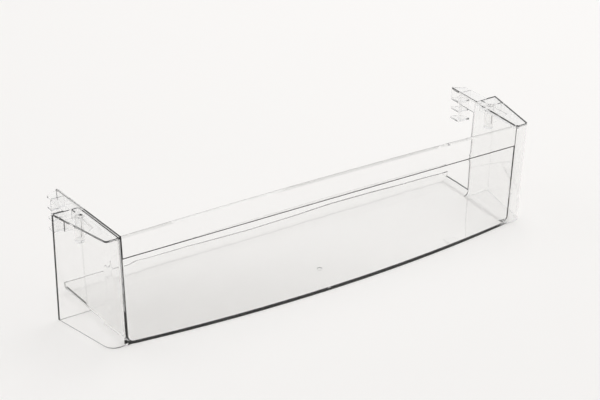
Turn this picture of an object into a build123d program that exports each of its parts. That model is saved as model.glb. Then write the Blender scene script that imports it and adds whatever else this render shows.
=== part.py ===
"""Clear shelf for the door of a refrigerator, moulded in one piece.

Millimetres.  X runs along the shelf, Y from the room to the door and Z up.
Depths are measured behind the front plane, in which both ends of the front
wall stand.
"""

import os

from build123d import *

# Tray
HEIGHT = 105.0
DEPTH = 108.2
FRONT_HALF = 210.8
REAR_SPLAY = 6.5
SIDE_LEAN = 2.7
FOOT_BOW = 14.8
FRONT_WALL = 2.8
SIDE_WALL = 2.0
FLOOR = 1.6
FOOT_RADIUS = 7.5
ROOT_RADIUS = 0.6
TOP_RADIUS = 0.5
EDGE_FLAT = 0.3

# Thin band along the top of the front wall, above a sloped ledge
LEDGE_HEIGHT = 84.1
BAND = 1.3
BEVEL_HEIGHT = 2.0

# Open rear of the tray
LIP_HEIGHT = 11.6
LIP = 1.8
RIM_HEIGHT = 6.9

# Hollow box at each end, drawn in a little towards its roof
BOX_DEPTH = 69.0
BOX_FRONT_REACH = 15.3
BOX_REAR_REACH = 27.8
BOX_DRAFT = 0.3
BOX_WALL = 1.3
STRIP = 2.4
ROOF = 2.2
ROOF_DROP = 0.8
POCKET_ROOT = 2.0
FOOT_CORNER = 11.0
ROOF_CORNER = 4.0

# Post under each roof, cored from above, and the webs that stiffen it
POST_OFFSET = 7.2
POST_DEPTH = 53.6
POST_RADIUS = 4.5
POST_LENGTH = 24.0
CORE_RADIUS = 3.1
CORE_END = 3.0
WEB = 1.6
GUSSET_LENGTH = 25.0
GUSSET_DROP = 20.0
WEB_DROP = 9.0

# Arm and comb that hang each end on the door
COMB_REACH = 11.4
COMB_LENGTH = 14.5
COMB_LEAD = 6.0
COMB_WALL = 1.8
FIN = 1.8
FIN_PITCH = 10.3
FIN_COUNT = 3

# Recess round the moulding gate, in the underside of the floor
GATE_DEPTH = 21.8
GATE_RADIUS = 2.6
GATE_RECESS = 0.7

FRONT_Y = (FOOT_BOW - DEPTH) / 2
BASE = Plane((0, FRONT_Y, 0))
ROOF_TOP = HEIGHT - ROOF_DROP
ROOF_UNDERSIDE = ROOF_TOP - ROOF
COMB_DEPTH = DEPTH - COMB_LENGTH
COMB_HEIGHT = FIN_COUNT * FIN_PITCH + FIN
ARM_HEIGHT = ROOF_DROP + FIN_PITCH + FIN
ARM_FOOT = HEIGHT - ARM_HEIGHT


def side_plane(x):
    """Upright plane across the shelf at x: depth to the right, height up."""
    return Plane((x, FRONT_Y, 0), x_dir=(0, 1, 0), z_dir=(1, 0, 0))


def front_plane(depth):
    """Upright plane along the shelf at a depth: X to the right, height up."""
    return Plane((0, FRONT_Y + depth, 0), x_dir=(1, 0, 0), z_dir=(0, -1, 0))


def tray_half(depth, z):
    """Half the width over the tray's side walls, which splay to the rear and lean out."""
    splay = REAR_SPLAY * depth / DEPTH
    return FRONT_HALF + splay + SIDE_LEAN * z / HEIGHT


def box_half(depth, z):
    """Half the width over the outer walls of the two end boxes."""
    reach = BOX_FRONT_REACH + (BOX_REAR_REACH - BOX_FRONT_REACH) * depth / BOX_DEPTH
    return tray_half(depth, 0) + reach - BOX_DRAFT * z / HEIGHT


def front_arc(z, inset=0.0):
    """Face of the front wall at height z, bowed outwards below the ledge and inwards above."""
    end = tray_half(inset, z) - SIDE_WALL
    bow = FOOT_BOW * (1 - z / LEDGE_HEIGHT)
    ThreePointArc((-end, inset), (0, inset - bow), (end, inset))


def tray_plan(z):
    """Outline of the tray at height z."""
    front = tray_half(0, z)
    rear = tray_half(DEPTH, z)
    with BuildSketch(BASE.offset(z)) as plan:
        with BuildLine():
            front_arc(z)
            Polyline(
                (front - SIDE_WALL, 0),
                (front, 0),
                (rear, DEPTH),
                (-rear, DEPTH),
                (-front, 0),
                (SIDE_WALL - front, 0),
            )
        make_face()
    return plan.sketch


def hollow_plan(z, front_wall, rear_depth):
    """Outline of the tray's hollow at height z."""
    front = tray_half(front_wall, z) - SIDE_WALL
    rear = tray_half(rear_depth, z) - SIDE_WALL
    with BuildSketch(BASE.offset(z)) as plan:
        with BuildLine():
            front_arc(z, front_wall)
            Polyline(
                (front, front_wall),
                (rear, rear_depth),
                (-rear, rear_depth),
                (-front, front_wall),
            )
        make_face()
    return plan.sketch


def bevel_plan(z, inset):
    """Outline at height z of what the bevel along the top of the front wall takes off."""
    end = tray_half(inset, z) - SIDE_WALL
    past = tray_half(0, HEIGHT) + BAND
    with BuildSketch(BASE.offset(z)) as plan:
        with BuildLine():
            front_arc(z, inset)
            Polyline(
                (end, inset),
                (past, inset),
                (past, -FOOT_BOW),
                (-past, -FOOT_BOW),
                (-past, inset),
                (-end, inset),
            )
        make_face()
    return plan.sketch


def box_plan(z, reach, corner):
    """Outline of the right end box at height z, which goes in under the tray by the given reach."""
    with BuildSketch(BASE.offset(z)) as plan:
        with BuildLine():
            Polyline(
                (tray_half(0, z) - reach, 0),
                (box_half(0, z), 0),
                (box_half(BOX_DEPTH, z), BOX_DEPTH),
                (tray_half(BOX_DEPTH, z) - reach, BOX_DEPTH),
                close=True,
            )
        make_face()
        fillet(plan.vertices().group_by(Axis.Y)[0].sort_by(Axis.X)[-1], corner)
    return plan.sketch


def pocket_plan(z, reach, corner):
    """Outline of the pocket in that box, with a sloped root where the front strip joins the tray."""
    rear = BOX_DEPTH - BOX_WALL
    inner = tray_half(STRIP, z)
    with BuildSketch(BASE.offset(z)) as plan:
        with BuildLine():
            Polyline(
                (inner + POCKET_ROOT, STRIP),
                (box_half(STRIP, z) - BOX_WALL, STRIP),
                (box_half(rear, z) - BOX_WALL, rear),
                (tray_half(rear, z) - reach, rear),
                (inner - reach, STRIP + POCKET_ROOT + reach),
                close=True,
            )
        make_face()
        fillet(plan.vertices().group_by(Axis.Y)[0].sort_by(Axis.X)[-1], corner - BOX_WALL)
    return plan.sketch


def roof_root(depth):
    """Section of the slope in the corner under the right roof, beside the tray."""
    wall = tray_half(depth, ROOF_UNDERSIDE)
    with BuildSketch(front_plane(depth)) as section:
        with BuildLine():
            Polyline(
                (wall - SIDE_WALL / 2, ROOF_UNDERSIDE - POCKET_ROOT - SIDE_WALL / 2),
                (wall + POCKET_ROOT, ROOF_UNDERSIDE),
                (wall + POCKET_ROOT, ROOF_UNDERSIDE + ROOF / 2),
                (wall - SIDE_WALL / 2, ROOF_UNDERSIDE + ROOF / 2),
                close=True,
            )
        make_face()
    return section.sketch


def fin_plan(z, start):
    """Outline of a plate of the right comb, from the given depth to its slanted tip."""
    comb_half = tray_half(DEPTH, HEIGHT) + COMB_REACH
    with BuildSketch(BASE.offset(z)) as plan:
        with BuildLine():
            Polyline(
                (tray_half(start, z) - SIDE_WALL / 2, start),
                (comb_half, start),
                (comb_half, DEPTH - COMB_LEAD),
                (tray_half(DEPTH, z), DEPTH),
                (tray_half(DEPTH, z) - SIDE_WALL / 2, DEPTH),
                close=True,
            )
        make_face()
    return plan.sketch


# Outside of the tray, with the long edges of its foot rounded
with BuildPart() as tray:
    loft([tray_plan(0), tray_plan(HEIGHT)], ruled=True)
    foot = tray.faces().sort_by(Axis.Z)[0]
    sides = foot.edges().sort_by(Axis.X)
    fillet([sides[0], sides[-1]], FOOT_RADIUS)

# Hollow of the tray, with the full wall in front
with BuildPart() as hollow:
    loft([hollow_plan(z, FRONT_WALL, DEPTH - LIP) for z in (FLOOR, HEIGHT)], ruled=True)
    floor = hollow.faces().sort_by(Axis.Z)[0]
    sides = floor.edges().sort_by(Axis.X)
    fillet([sides[0], sides[-1]], max(FOOT_RADIUS - FLOOR, ROOT_RADIUS))
    floor = hollow.faces().sort_by(Axis.Z)[0]
    fillet(floor.edges().sort_by(Axis.Y)[0], ROOT_RADIUS)

# Hollow behind the thin band above the ledge
with BuildPart() as band_hollow:
    loft([hollow_plan(z, BAND, DEPTH + LIP) for z in (FLOOR, HEIGHT)], ruled=True)
    split(bisect_by=BASE.offset(LEDGE_HEIGHT), keep=Keep.TOP)

# Slope of the ledge, from the band down to the full wall
with BuildPart() as ledge_slope:
    loft([hollow_plan(z, BAND, BOX_DEPTH) for z in (FLOOR, HEIGHT)], ruled=True)
    split(bisect_by=BASE.offset(LEDGE_HEIGHT), keep=Keep.BOTTOM)
    split(bisect_by=Plane((0, FRONT_Y + BAND, LEDGE_HEIGHT), z_dir=(0, 1, 1)), keep=Keep.TOP)

# Bevel along the top of the front wall, which leaves a narrow flat
with BuildPart() as bevel:
    start = HEIGHT - 2 * BEVEL_HEIGHT
    cut = BAND - EDGE_FLAT
    loft([bevel_plan(start, -cut), bevel_plan(HEIGHT, cut)], ruled=True)

# Open rear above the lip
with BuildPart() as rear_hollow:
    loft([hollow_plan(z, BOX_DEPTH, DEPTH + LIP) for z in (FLOOR, HEIGHT)], ruled=True)
    split(bisect_by=BASE.offset(LIP_HEIGHT), keep=Keep.TOP)

# End boxes, open below
with BuildPart() as boxes:
    loft(
        [box_plan(0, FOOT_RADIUS, FOOT_CORNER), box_plan(ROOF_TOP, SIDE_WALL / 2, ROOF_CORNER)],
        ruled=True,
    )
    loft(
        [
            pocket_plan(0, FOOT_RADIUS, FOOT_CORNER),
            pocket_plan(ROOF_UNDERSIDE, SIDE_WALL / 2, ROOF_CORNER),
        ],
        ruled=True,
        mode=Mode.SUBTRACT,
    )
    loft([roof_root(STRIP / 2), roof_root(BOX_DEPTH - BOX_WALL / 2)], ruled=True)
    mirror(about=Plane.YZ)

# Posts and webs under the roofs, and the combs behind them
with BuildPart() as hangers:
    post_x = tray_half(POST_DEPTH, HEIGHT) + POST_OFFSET
    with BuildSketch(BASE.offset(ROOF_TOP)):
        with Locations((post_x, POST_DEPTH)):
            Circle(POST_RADIUS)
    extrude(amount=-POST_LENGTH)

    with BuildSketch(side_plane(post_x)):
        with BuildLine():
            Polyline(
                (POST_DEPTH, ROOF_UNDERSIDE - GUSSET_DROP),
                (POST_DEPTH - GUSSET_LENGTH, ROOF_UNDERSIDE),
                (POST_DEPTH - GUSSET_LENGTH, ROOF_UNDERSIDE + ROOF / 2),
                (BOX_DEPTH - BOX_WALL / 2, ROOF_UNDERSIDE + ROOF / 2),
                (BOX_DEPTH - BOX_WALL / 2, ROOF_UNDERSIDE - WEB_DROP),
                (POST_DEPTH, ROOF_UNDERSIDE - WEB_DROP),
                close=True,
            )
        make_face()
    extrude(amount=WEB / 2, both=True)

    cross_web_end = box_half(POST_DEPTH, ROOF_UNDERSIDE - WEB_DROP) - BOX_WALL / 2
    with BuildSketch(BASE.offset(ROOF_UNDERSIDE + ROOF / 2)):
        with BuildLine():
            Polyline(
                (post_x, POST_DEPTH - WEB / 2),
                (cross_web_end, POST_DEPTH - WEB / 2),
                (cross_web_end, POST_DEPTH + WEB / 2),
                (post_x, POST_DEPTH + WEB / 2),
                close=True,
            )
        make_face()
    extrude(amount=-(ROOF / 2 + WEB_DROP))

    extrude(fin_plan(ROOF_TOP, BOX_DEPTH - BOX_WALL / 2), amount=-FIN)
    for level in range(1, FIN_COUNT + 1):
        extrude(fin_plan(ROOF_TOP - level * FIN_PITCH, COMB_DEPTH), amount=-FIN)
    comb_half = tray_half(DEPTH, HEIGHT) + COMB_REACH
    comb_root = tray_half(COMB_DEPTH, HEIGHT) - SIDE_WALL / 2
    with BuildSketch(BASE.offset(ROOF_TOP)):
        with BuildLine():
            Polyline(
                (comb_root, COMB_DEPTH),
                (comb_half, COMB_DEPTH),
                (comb_half, COMB_DEPTH + COMB_WALL),
                (comb_root, COMB_DEPTH + COMB_WALL),
                close=True,
            )
        make_face()
    extrude(amount=-COMB_HEIGHT)
    mirror(about=Plane.YZ)

with BuildPart() as door_shelf:
    add(tray)
    add(boxes)
    add(hollow, mode=Mode.SUBTRACT)
    add(band_hollow, mode=Mode.SUBTRACT)
    add(ledge_slope, mode=Mode.SUBTRACT)
    add(rear_hollow, mode=Mode.SUBTRACT)
    add(bevel, mode=Mode.SUBTRACT)

    # Rear ends of the side walls, cut down to low rims and left open under the arms
    with BuildSketch(side_plane(0)):
        with BuildLine():
            Polyline(
                (BOX_DEPTH, RIM_HEIGHT),
                (DEPTH - LIP, RIM_HEIGHT),
                (DEPTH - LIP, LIP_HEIGHT),
                (DEPTH + LIP, LIP_HEIGHT),
                (DEPTH + LIP, ARM_FOOT),
                (BOX_DEPTH, ARM_FOOT),
                close=True,
            )
        make_face()
    extrude(amount=tray_half(DEPTH, HEIGHT), both=True, mode=Mode.SUBTRACT)

    # Rounded lower edges of the arms
    flats = door_shelf.faces().filter_by(Axis.Z)
    arm_feet = flats.filter_by_position(Axis.Z, ARM_FOOT - EDGE_FLAT, ARM_FOOT + EDGE_FLAT)
    fillet(arm_feet.edges().group_by(SortBy.LENGTH)[-1], (SIDE_WALL - EDGE_FLAT) / 2)

    add(hangers)
    with BuildSketch(BASE.offset(ROOF_TOP)):
        with Locations((post_x, POST_DEPTH), (-post_x, POST_DEPTH)):
            Circle(CORE_RADIUS)
    extrude(amount=CORE_END - POST_LENGTH, mode=Mode.SUBTRACT)

    with BuildSketch(BASE):
        with Locations((0, GATE_DEPTH)):
            Circle(GATE_RADIUS)
    extrude(amount=GATE_RECESS, mode=Mode.SUBTRACT)

    # Rounded top edges of the side walls
    tops = door_shelf.edges().group_by(Axis.Z)[-1].filter_by(GeomType.LINE)
    fillet(tops.sort_by(SortBy.LENGTH)[-4:], TOP_RADIUS)

    # Rounded edges of the lip, which leave a narrow flat between them
    lip_top = door_shelf.faces().filter_by(Axis.Z).sort_by(Axis.Y)[-1]
    fillet(lip_top.edges().sort_by(SortBy.LENGTH)[-2:], (LIP - EDGE_FLAT) / 2)

os.makedirs("parts", exist_ok=True)
door_shelf.part.label = "door_shelf"
export_step(door_shelf.part, "parts/door_shelf.step")
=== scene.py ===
"""Finish and studio stage for a clear moulded refrigerator door shelf."""

import bpy
from mathutils import Matrix, Vector

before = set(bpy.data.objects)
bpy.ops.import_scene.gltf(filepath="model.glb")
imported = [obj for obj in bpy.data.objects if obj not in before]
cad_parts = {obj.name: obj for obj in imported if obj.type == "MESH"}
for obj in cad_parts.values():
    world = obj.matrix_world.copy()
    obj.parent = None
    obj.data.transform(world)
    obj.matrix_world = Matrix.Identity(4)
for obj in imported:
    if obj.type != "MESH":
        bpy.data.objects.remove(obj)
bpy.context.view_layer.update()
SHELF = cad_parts["door_shelf"]

bl_info = {
    "name": "Refrigerator door shelf",
    "version": (1, 0, 0),
    "blender": (4, 5, 0),
    "location": "3D View > Sidebar > Door shelf",
    "description": "Gives a moulded door shelf its clear plastic and sets it on a pale table",
    "category": "Object",
}


class ClearPlasticSettings(bpy.types.PropertyGroup):
    """Finish of the moulded plastic."""

    surface_colour: bpy.props.FloatVectorProperty(
        name="Surface colour",
        description="Share of light that each surface lets through",
        subtype="COLOR",
        size=3,
        min=0.0,
        max=1.0,
        default=(0.99, 0.99, 0.988),
    )
    body_colour: bpy.props.FloatVectorProperty(
        name="Body colour",
        description="Colour that long ways through the plastic tend to",
        subtype="COLOR",
        size=3,
        min=0.0,
        max=1.0,
        default=(0.08, 0.08, 0.085),
    )
    body_density: bpy.props.FloatProperty(
        name="Body density",
        description="Absorption for each metre of way through the plastic",
        subtype="UNSIGNED",
        min=0.0,
        default=9.0,
    )
    refraction: bpy.props.FloatProperty(
        name="Refraction",
        description="Refractive index of clear polystyrene",
        subtype="UNSIGNED",
        min=1.0,
        max=2.0,
        default=1.585,
    )
    gloss_low: bpy.props.FloatProperty(
        name="Least roughness",
        description="Roughness where the mould was polished best",
        subtype="FACTOR",
        min=0.0,
        max=1.0,
        default=0.0,
    )
    gloss_high: bpy.props.FloatProperty(
        name="Most roughness",
        description="Roughness where handling has dulled the surface",
        subtype="FACTOR",
        min=0.0,
        max=1.0,
        default=0.03,
    )
    ripple_length: bpy.props.FloatProperty(
        name="Ripple length",
        description="Length of the shallow waves left by the flow of the plastic",
        unit="LENGTH",
        min=0.001,
        default=0.03,
    )
    ripple_height: bpy.props.FloatProperty(
        name="Ripple height",
        description="Height of those waves",
        unit="LENGTH",
        min=0.0,
        default=0.00002,
    )


class StageSettings(bpy.types.PropertyGroup):
    """Table, light and camera."""

    table_size: bpy.props.FloatProperty(
        name="Table size",
        description="Length of each side of the table",
        unit="LENGTH",
        min=1.0,
        default=9.0,
    )
    table_colour: bpy.props.FloatVectorProperty(
        name="Table colour",
        description="Pale colour of the table",
        subtype="COLOR",
        size=3,
        min=0.0,
        max=1.0,
        default=(0.93, 0.915, 0.9),
    )
    overhead: bpy.props.FloatProperty(
        name="Overhead level",
        description="Brightness of the tent above the table",
        subtype="UNSIGNED",
        min=0.0,
        default=1.07,
    )
    far_side: bpy.props.FloatProperty(
        name="Far level",
        description="Brightness of the tent behind the shelf",
        subtype="UNSIGNED",
        min=0.0,
        default=0.9,
    )
    near_side: bpy.props.FloatProperty(
        name="Near level",
        description="Brightness of the open side of the tent, towards the camera",
        subtype="UNSIGNED",
        min=0.0,
        default=0.2,
    )
    gap: bpy.props.FloatProperty(
        name="Gap level",
        description="Brightness between the far side of the tent and its top",
        subtype="UNSIGNED",
        min=0.0,
        default=0.05,
    )
    backdrop: bpy.props.FloatProperty(
        name="Backdrop level",
        description="Brightness of the tent where the camera sees it past the table",
        subtype="UNSIGNED",
        min=0.0,
        default=0.9,
    )
    softbox_power: bpy.props.FloatProperty(
        name="Softbox power",
        description="Power of the soft lamp above the right end of the shelf",
        unit="POWER",
        min=0.0,
        default=6.0,
    )
    bounces: bpy.props.IntProperty(
        name="Bounces",
        description="Surfaces that a ray may meet in the plastic before it goes dark",
        subtype="UNSIGNED",
        min=1,
        default=24,
    )
    reflections: bpy.props.IntProperty(
        name="Reflections",
        description="Reflections of a ray before it goes dark, as on long ways along a wall",
        subtype="UNSIGNED",
        min=1,
        default=10,
    )
    lens: bpy.props.FloatProperty(
        name="Lens",
        description="Focal length for a sensor 36 mm wide",
        unit="CAMERA",
        min=10.0,
        default=89.325,
    )


def set_plastic(settings):
    """Clear polystyrene with a soft ripple and a gloss that handling has dulled in places."""
    plastic = bpy.data.materials.new("clear_plastic")
    plastic.use_nodes = True
    nodes = plastic.node_tree.nodes
    links = plastic.node_tree.links
    nodes.clear()

    output = nodes.new("ShaderNodeOutputMaterial")
    surface = nodes.new("ShaderNodeBsdfPrincipled")
    surface.inputs["Base Color"].default_value = (*settings.surface_colour, 1.0)
    surface.inputs["Transmission Weight"].default_value = 1.0
    surface.inputs["IOR"].default_value = settings.refraction
    links.new(surface.outputs["BSDF"], output.inputs["Surface"])

    body = nodes.new("ShaderNodeVolumeAbsorption")
    body.inputs["Color"].default_value = (*settings.body_colour, 1.0)
    body.inputs["Density"].default_value = settings.body_density
    links.new(body.outputs["Volume"], output.inputs["Volume"])

    place = nodes.new("ShaderNodeTexCoord")
    handling = nodes.new("ShaderNodeTexNoise")
    handling.inputs["Scale"].default_value = 18.0
    handling.inputs["Detail"].default_value = 6.0
    links.new(place.outputs["Object"], handling.inputs["Vector"])
    gloss = nodes.new("ShaderNodeMapRange")
    gloss.inputs["From Min"].default_value = 0.45
    gloss.inputs["From Max"].default_value = 0.75
    gloss.inputs["To Min"].default_value = settings.gloss_low
    gloss.inputs["To Max"].default_value = settings.gloss_high
    links.new(handling.outputs["Fac"], gloss.inputs["Value"])
    links.new(gloss.outputs["Result"], surface.inputs["Roughness"])

    ripple = nodes.new("ShaderNodeTexNoise")
    ripple.inputs["Scale"].default_value = 1.0 / settings.ripple_length
    ripple.inputs["Detail"].default_value = 1.0
    links.new(place.outputs["Object"], ripple.inputs["Vector"])
    relief = nodes.new("ShaderNodeBump")
    relief.inputs["Strength"].default_value = 1.0
    relief.inputs["Distance"].default_value = settings.ripple_height
    links.new(ripple.outputs["Fac"], relief.inputs["Height"])
    links.new(relief.outputs["Normal"], surface.inputs["Normal"])
    return plastic


class DOORSHELF_OT_clear_plastic(bpy.types.Operator):
    """Give the moulded shelf its clear plastic"""

    bl_idname = "door_shelf.clear_plastic"
    bl_label = "Clear plastic"

    def execute(self, context):
        plastic = set_plastic(context.scene.door_shelf_plastic)
        SHELF.data.materials.clear()
        SHELF.data.materials.append(plastic)
        return {"FINISHED"}


def smooth_step(tree, value, start, end, low=0.0, high=1.0):
    """Level that goes from low to high while the value goes from start to end."""
    step = tree.nodes.new("ShaderNodeMapRange")
    step.interpolation_type = "SMOOTHSTEP"
    step.inputs["From Min"].default_value = start
    step.inputs["From Max"].default_value = end
    step.inputs["To Min"].default_value = low
    step.inputs["To Max"].default_value = high
    tree.links.new(value, step.inputs["Value"])
    return step.outputs["Result"]


def product(tree, first, second):
    """Product of two levels."""
    times = tree.nodes.new("ShaderNodeMath")
    times.operation = "MULTIPLY"
    tree.links.new(first, times.inputs[0])
    tree.links.new(second, times.inputs[1])
    return times.outputs["Value"]


def blend(tree, share, level, other):
    """Level that gives way to another one by a share."""
    mix = tree.nodes.new("ShaderNodeMix")
    mix.data_type = "FLOAT"
    mix.inputs["B"].default_value = other
    tree.links.new(share, mix.inputs["Factor"])
    tree.links.new(level, mix.inputs["A"])
    return mix.outputs["Result"]


def set_tent(settings):
    """Light tent, open towards the camera, with a gap between its far side and its top."""
    tent = bpy.data.worlds.new("light_tent")
    bpy.context.scene.world = tent
    tent.use_nodes = True
    tree = tent.node_tree
    nodes = tree.nodes
    links = tree.links
    nodes.clear()
    output = nodes.new("ShaderNodeOutputWorld")
    cloth = nodes.new("ShaderNodeBackground")
    cloth.inputs["Color"].default_value = (1.0, 1.0, 1.0, 1.0)
    links.new(cloth.outputs["Background"], output.inputs["Surface"])

    direction = nodes.new("ShaderNodeTexCoord")
    away = nodes.new("ShaderNodeVectorMath")
    away.operation = "DOT_PRODUCT"
    away.inputs[1].default_value = (0.545, 0.838, 0.0)
    links.new(direction.outputs["Generated"], away.inputs[0])
    depth = away.outputs["Value"]
    parts = nodes.new("ShaderNodeSeparateXYZ")
    links.new(direction.outputs["Generated"], parts.inputs["Vector"])
    height = parts.outputs["Z"]

    level = smooth_step(tree, depth, -0.85, -0.25, settings.near_side, settings.far_side)
    level = blend(tree, smooth_step(tree, height, 0.35, 0.8), level, settings.overhead)
    gap = product(tree, smooth_step(tree, height, 0.47, 0.54), smooth_step(tree, height, 0.8, 0.7))
    gap = product(tree, gap, smooth_step(tree, depth, 0.5, 0.7))
    level = blend(tree, gap, level, settings.gap)
    sight = nodes.new("ShaderNodeLightPath")
    level = blend(tree, sight.outputs["Is Camera Ray"], level, settings.backdrop)
    links.new(level, cloth.inputs["Strength"])


def set_table(settings):
    """Pale table top."""
    half = settings.table_size / 2
    mesh = bpy.data.meshes.new("table")
    mesh.from_pydata([(-half, -half, 0), (half, -half, 0), (half, half, 0), (-half, half, 0)], [], [(0, 1, 2, 3)])
    table = bpy.data.objects.new("table", mesh)
    bpy.context.scene.collection.objects.link(table)
    table.location.z = -0.0002
    paper = bpy.data.materials.new("table_paper")
    paper.use_nodes = True
    shader = paper.node_tree.nodes["Principled BSDF"]
    shader.inputs["Base Color"].default_value = (*settings.table_colour, 1.0)
    shader.inputs["Roughness"].default_value = 0.9
    shader.inputs["Specular IOR Level"].default_value = 0.0
    mesh.materials.append(paper)


def set_lamp(settings):
    """Soft lamp above the right end."""
    light = bpy.data.lights.new("softbox", "AREA")
    light.shape = "SQUARE"
    light.size = 1.2
    light.energy = settings.softbox_power
    lamp = bpy.data.objects.new("softbox", light)
    bpy.context.scene.collection.objects.link(lamp)
    lamp.location = (0.9, 0.6, 1.8)
    lamp.rotation_euler = (Vector((0, 0, 0)) - lamp.location).to_track_quat("-Z", "Y").to_euler()


def set_camera(settings):
    """Camera at the viewing angle of the photograph."""
    data = bpy.data.cameras.new("camera")
    data.sensor_fit = "HORIZONTAL"
    data.sensor_width = 36.0
    data.lens = settings.lens
    data.clip_end = 50.0
    camera = bpy.data.objects.new("camera", data)
    bpy.context.scene.collection.objects.link(camera)
    right = Vector((0.83600944, -0.54855949, 0.01306532))
    up = Vector((0.23911333, 0.38563526, 0.89112865))
    back = Vector((-0.49387553, -0.74186787, 0.4535626))
    turn = Matrix((right, up, back)).transposed().to_4x4()
    camera.matrix_world = Matrix.Translation((-0.68382, -1.0184, 0.68591)) @ turn
    bpy.context.scene.camera = camera


class DOORSHELF_OT_stage(bpy.types.Operator):
    """Set up the table, the light and the camera"""

    bl_idname = "door_shelf.stage"
    bl_label = "Stage"

    def execute(self, context):
        settings = context.scene.door_shelf_stage
        set_tent(settings)
        set_table(settings)
        set_lamp(settings)
        set_camera(settings)
        context.scene.view_settings.view_transform = "Standard"
        rays = context.scene.cycles
        rays.blur_glossy = 0.0
        rays.max_bounces = settings.bounces
        rays.transmission_bounces = settings.bounces
        rays.glossy_bounces = settings.reflections
        return {"FINISHED"}


class DOORSHELF_PT_panel(bpy.types.Panel):
    """Settings and steps of the door shelf"""

    bl_idname = "DOORSHELF_PT_panel"
    bl_label = "Door shelf"
    bl_space_type = "VIEW_3D"
    bl_region_type = "UI"
    bl_category = "Door shelf"

    def draw(self, context):
        scene = context.scene
        for settings, step in (
            (scene.door_shelf_plastic, DOORSHELF_OT_clear_plastic),
            (scene.door_shelf_stage, DOORSHELF_OT_stage),
        ):
            column = self.layout.column(align=True)
            for name in settings.__annotations__:
                column.prop(settings, name)
            column.operator(step.bl_idname)


CLASSES = (
    ClearPlasticSettings,
    StageSettings,
    DOORSHELF_OT_clear_plastic,
    DOORSHELF_OT_stage,
    DOORSHELF_PT_panel,
)


def register():
    for cls in CLASSES:
        bpy.utils.register_class(cls)
    bpy.types.Scene.door_shelf_plastic = bpy.props.PointerProperty(type=ClearPlasticSettings)
    bpy.types.Scene.door_shelf_stage = bpy.props.PointerProperty(type=StageSettings)


def unregister():
    del bpy.types.Scene.door_shelf_stage
    del bpy.types.Scene.door_shelf_plastic
    for cls in reversed(CLASSES):
        bpy.utils.unregister_class(cls)


def main():
    register()
    bpy.ops.door_shelf.clear_plastic()
    bpy.ops.door_shelf.stage()


if __name__ == "__main__":
    main()
